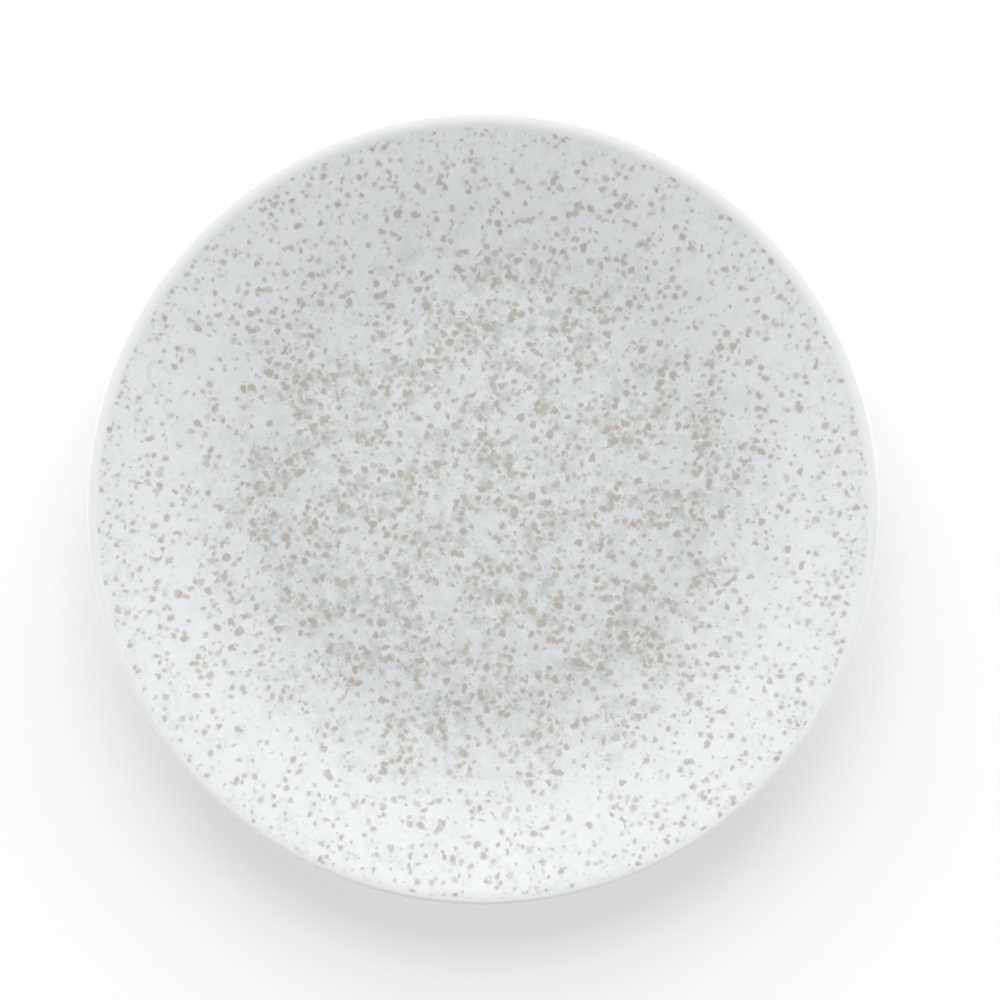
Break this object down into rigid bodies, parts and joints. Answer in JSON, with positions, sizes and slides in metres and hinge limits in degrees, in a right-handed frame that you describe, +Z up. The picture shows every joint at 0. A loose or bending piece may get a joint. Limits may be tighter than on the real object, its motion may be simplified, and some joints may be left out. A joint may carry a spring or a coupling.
{
  "type": "coupe dinner plate",
  "caption": "Round rimless ceramic dinner plate with a flat well, a rising wall, a rounded lip, a foot ring and a speckled grey print under a clear glaze.",
  "frame": {"origin": "centre of the foot ring, on the table that the plate stands on", "axes": "+Z up along the plate's axis, from the foot to the lip; X and Y are any two directions across it"},
  "size_m": [0.26, 0.26, 0.026],
  "materials": {
    "clay": "matte",
    "print_colour": "matte",
    "face_glaze": "gloss",
    "back_glaze": "gloss"
  },
  "bodies": {
    "root": {"body": "clay", "speckle_print": "print_colour", "face_glaze": "face_glaze", "back_glaze": "back_glaze", "recess_glaze": "back_glaze"}
  },
  "joints": []
}
